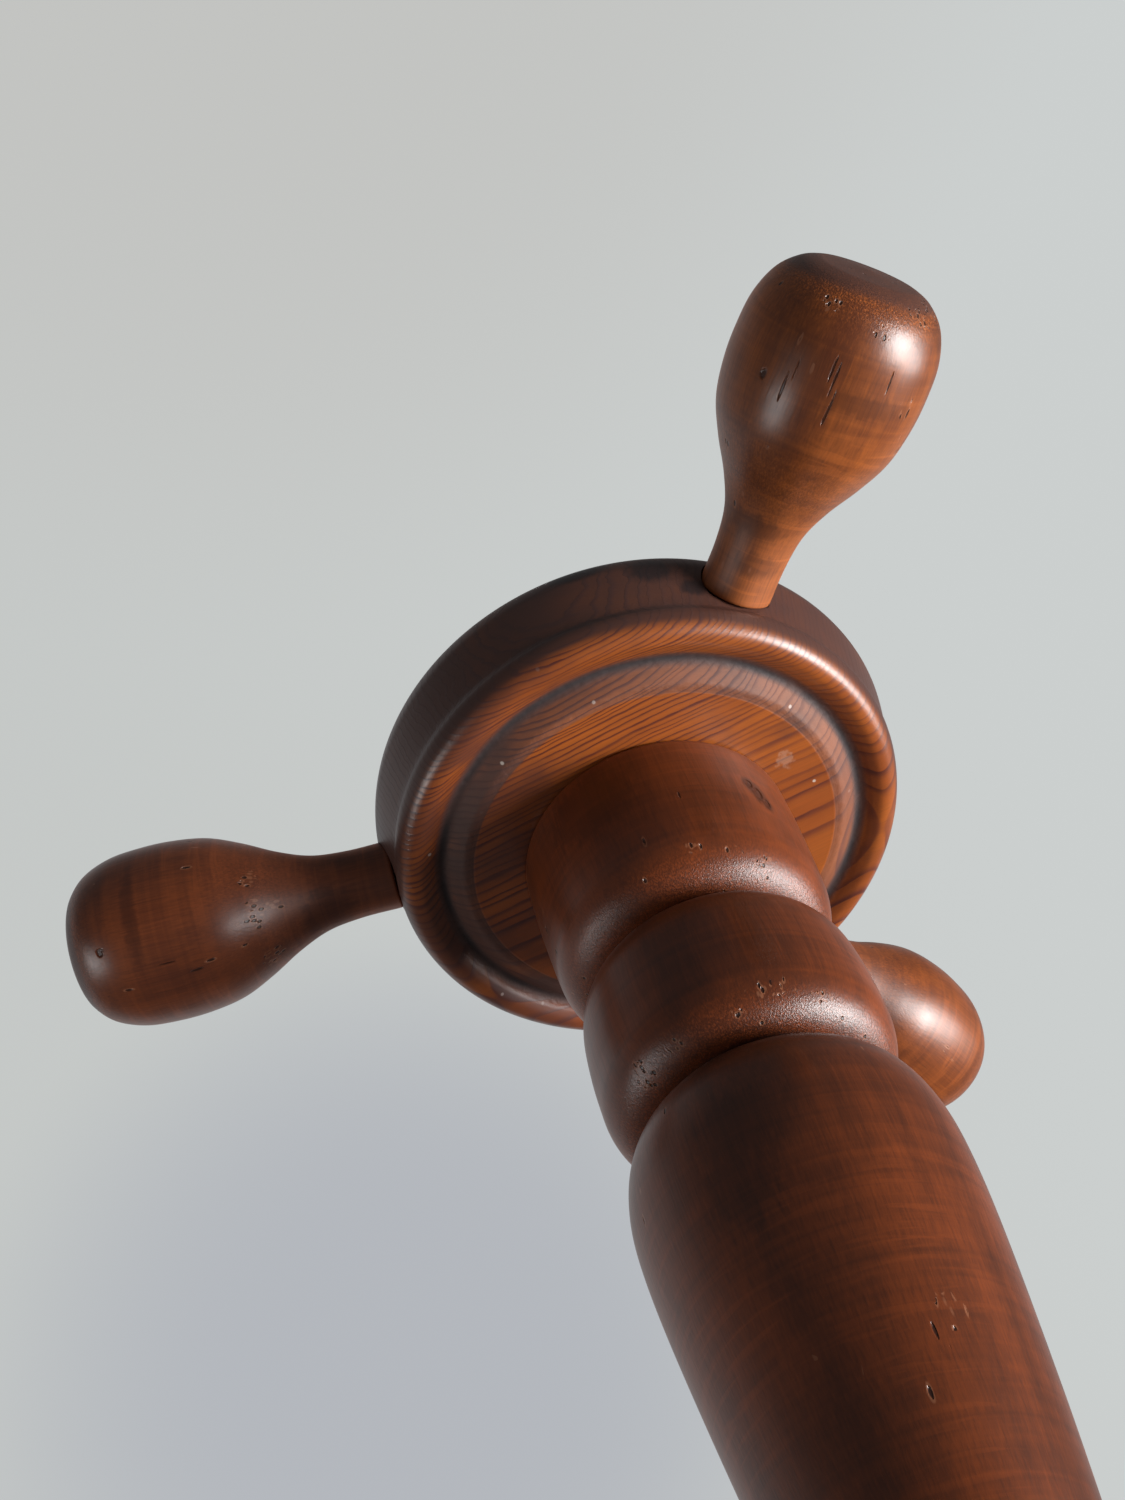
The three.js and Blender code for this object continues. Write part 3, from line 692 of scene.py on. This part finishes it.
def make_base():
    low, plate_r = BASE_BOTTOM, BASE_R - MOULDING[-1][0] * BASE_MOULDING
    socket = BASE_TOP - TENONS["column_lower"] - GAP
    moulding = curve([(plate_r + out * BASE_MOULDING, BASE_TOP - depth * BASE_MOULDING)
                      for out, depth in MOULDING])
    outline = even([
        (0, low + 12), (15, low + 12), (15, low), (191, low), *arc(191, low + 6, 6, 6, -80, 0),
        *curve([(197, low + 6), (195.6, low + 12), (195.8, low + 18), (198.6, BASE_TOP - 19)]),
        *moulding[::-1],
        (TENON_R + GAP, BASE_TOP), (TENON_R + GAP, socket), (0, socket)], 0.7)
    base = turned("base", outline, 384, waves(41, 6, 0.15), reach=22, depth=1.0)
    crisp(base)
    look = pine("base_pine", pith=(0, -0.07, -0.05), grain=8.0, ring_area=0.00045,
                shoulder=(plate_r, plate_r + SHOULDER * BASE_MOULDING), seed=7.0)
    place_piece(base, "base_disc", look)


def make_feet():
    material = hardwood("foot_wood", *COLUMN_STAIN, 15.0)
    pad_material = felt("pad_felt", (0.045, 0.034, 0.027), 3.0)
    for number in range(1, 5):
        low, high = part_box(f"foot_{number}")
        x, y = (low.x + high.x) / 2, (low.y + high.y) / 2
        bottom, top = low.z / MM - 0.3, high.z / MM
        middle, half = (bottom + top) / 2, (top - bottom) / 2
        outline = even([(0, bottom + 0.6), (13, bottom + 0.6), *arc(13, middle, 16.8, half, -78, 78),
                        (15, top), (0, top)], 0.7)
        foot = turned(f"bun_{number}", outline, 96, waves(50 + number, 5, 0.12), reach=20, depth=0.8)
        crisp(foot)
        foot.location = (x, y, 0)
        place_piece(foot, f"foot_{number}", material)
        pad_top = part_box(f"floor_pad_{number}")[1].z / MM
        outline = even([(0, 0), (15.4, 0), (16, 0.6), (16, pad_top - 0.7), (15.3, pad_top),
                        (0, pad_top)], 0.4)
        pad = turned(f"felt_{number}", outline, 96, waves(60 + number, 9, 0.12))
        crisp(pad)
        pad.location = (x, y, 0)
        place_piece(pad, f"floor_pad_{number}", pad_material)


def dress_metal():
    steel = metal("zinc_steel", (0.52, 0.53, 0.54), 0.34, 1.0)
    brass = metal("turned_brass", (0.62, 0.43, 0.18), 0.36, 2.0)
    slots = {part["node"]: part["material_slot"] for part in frame["record"]["subparts"]}
    for node, obj in frame["nodes"].items():
        look = {"steel": steel, "brass": brass}.get(slots.get(node))
        if look:
            obj.data.materials.clear()
            obj.data.materials.append(look)


# ---------------------------------------------------------------- stage

def make_floor():
    """A pale floor that throws little light back up, so that the head keeps its contrast."""
    outline = np.array([(0, -20), (30000, -20), (30000, 0), (0, 0)], float)
    floor = turned("floor", outline, 96)
    g = Graph(bpy.data.materials.new("floor_paint"))
    place = g.node("ShaderNodeTexCoord").outputs["Object"]
    cloud = g.noise(place, (1.3, 1.3, 1.3), 4.0)
    color = g.mix(g.spread(cloud, 0.3, 0.7), (0.67, 0.68, 0.68, 1), (0.69, 0.70, 0.70, 1))
    seen = g.node("ShaderNodeLightPath").outputs["Is Camera Ray"]
    color = g.mix(seen, (0.11, 0.11, 0.11, 1), color)
    floor.data.materials.append(g.finish(Base_Color=color, Roughness=0.75))
    floor.location.z = -0.0005


def sun_side(azimuth, elevation):
    a, e = math.radians(azimuth), math.radians(elevation)
    return Vector((math.cos(a) * math.cos(e), math.sin(a) * math.cos(e), math.sin(e)))


def soft_box(name, azimuth, elevation, distance, size, power, spread, aim=None):
    """A rectangular light with a grid, turned to the head.

    One with an aim faces that height on the axis instead, and shows in no reflection.
    """
    light = bpy.data.lights.new(name, "AREA")
    light.shape, light.size, light.size_y = "RECTANGLE", *size
    light.energy, light.spread = power, math.radians(spread)
    obj = bpy.data.objects.new(name, light)
    bpy.context.scene.collection.objects.link(obj)
    toward = sun_side(azimuth, elevation)
    obj.location = Vector((0, 0, (aim or HEAD_Z) * MM)) + toward * distance
    obj.rotation_mode = "QUATERNION"
    obj.rotation_quaternion = (-toward).to_track_quat("-Z", "Y")
    obj.visible_camera = False
    obj.visible_glossy = aim is None


def make_room():
    """The pale backdrop that the camera sees, and the dimmer room that lights the stand."""
    g = Graph(bpy.data.worlds.new("room"))
    bpy.context.scene.world = g.owner
    way = g.node("ShaderNodeTexCoord").outputs["Generated"]
    across, _, up = g.node("ShaderNodeSeparateXYZ", {0: way}).outputs
    path = g.node("ShaderNodeLightPath").outputs
    backdrop = g.mix(g.spread(across, -0.4, 0.3), (0.56, 0.58, 0.57, 1), (0.60, 0.625, 0.62, 1))
    backdrop = g.mix(g.spread(up, 0.86, 1.0), backdrop, (0.545, 0.55, 0.535, 1))
    shadow = g.node("ShaderNodeVectorMath", {0: way, 1: (-0.27, 0.79, 0.55)}, operation="DOT_PRODUCT")
    backdrop = g.mix(g.spread(shadow.outputs["Value"], 0.955, 0.998), backdrop, (0.455, 0.475, 0.51, 1))
    diffuse = g.spread(up, 0.0, 0.7, 0.035, 0.13)
    bright = g.node("ShaderNodeVectorMath", {0: way, 1: (-0.48, 0.76, 0.43)}, operation="DOT_PRODUCT")
    mirrored = g.spread(bright.outputs["Value"], 0.15, 0.90, 0.13, 0.55)
    strength = g.node("ShaderNodeMix", {0: path["Is Glossy Ray"], 2: diffuse, 3: mirrored}).outputs[0]
    room = g.node("ShaderNodeVectorMath", {0: (0.96, 0.98, 1.0), 3: strength}, operation="SCALE")
    seen = g.mix(path["Is Camera Ray"], room.outputs[0], backdrop)
    g.put(g.tree.nodes["Background"].inputs["Color"], seen)


def make_light():
    # The head is lit as by two windows below its level, the rest of the stand by soft boxes round its
    # foot and one behind it, and the floor from straight above.
    soft_box("window_right", -1, -33, 1.7, (0.6, 0.8), 9.8, 70)
    soft_box("window_side", 20, -22, 1.7, (0.5, 0.8), 3.0, 70)
    soft_box("window_left", -166, -24, 1.7, (0.4, 0.6), 1.1, 70)
    soft_box("low_front", -60, 2, 2.5, (0.9, 0.5), 2.6, 40, 420)
    soft_box("low_left", -160, 2, 2.5, (0.9, 0.5), 3.2, 40, 420)
    soft_box("low_back", 80, 2, 2.5, (0.9, 0.5), 2.6, 40, 420)
    soft_box("back", 105, 12, 2.5, (1.0, 1.2), 8, 80, 900)
    above = bpy.data.lights.new("above", "SUN")
    above.energy, above.angle = 2.0, math.radians(25)
    obj = bpy.data.objects.new("above", above)
    obj.visible_glossy = False
    bpy.context.scene.collection.objects.link(obj)


def make_camera():
    camera = bpy.data.cameras.new("camera")
    camera.lens, camera.sensor_width, camera.sensor_fit = CAMERA_LENS, 36, "AUTO"
    camera.clip_start, camera.clip_end = 0.02, 60
    obj = bpy.data.objects.new("camera", camera)
    bpy.context.scene.collection.objects.link(obj)
    below, up, left, roll = (math.radians(v) for v in
                             (CAMERA_BELOW, CAMERA_AIM_UP, CAMERA_AIM_LEFT, CAMERA_ROLL))
    aim = Vector((-math.sin(left) * math.cos(up), math.cos(left) * math.cos(up), math.sin(up)))
    level = aim.cross(Vector((0, 0, 1))).normalized()
    high = level.cross(aim)
    right = level * math.cos(roll) - high * math.sin(roll)
    top = level * math.sin(roll) + high * math.cos(roll)
    spot = Vector((0, -math.cos(below), -math.sin(below))) * CAMERA_DISTANCE
    spot.z += HEAD_Z * MM
    turn = Matrix((right, top, -aim)).transposed().to_4x4()
    obj.matrix_world = Matrix.Translation(spot) @ turn
    bpy.context.scene.camera = obj


make_head()
make_pegs()
make_column()
make_cap()
make_base()
make_feet()
dress_metal()
make_floor()
make_room()
make_light()
make_camera()
bpy.context.scene.view_settings.view_transform = "Standard"
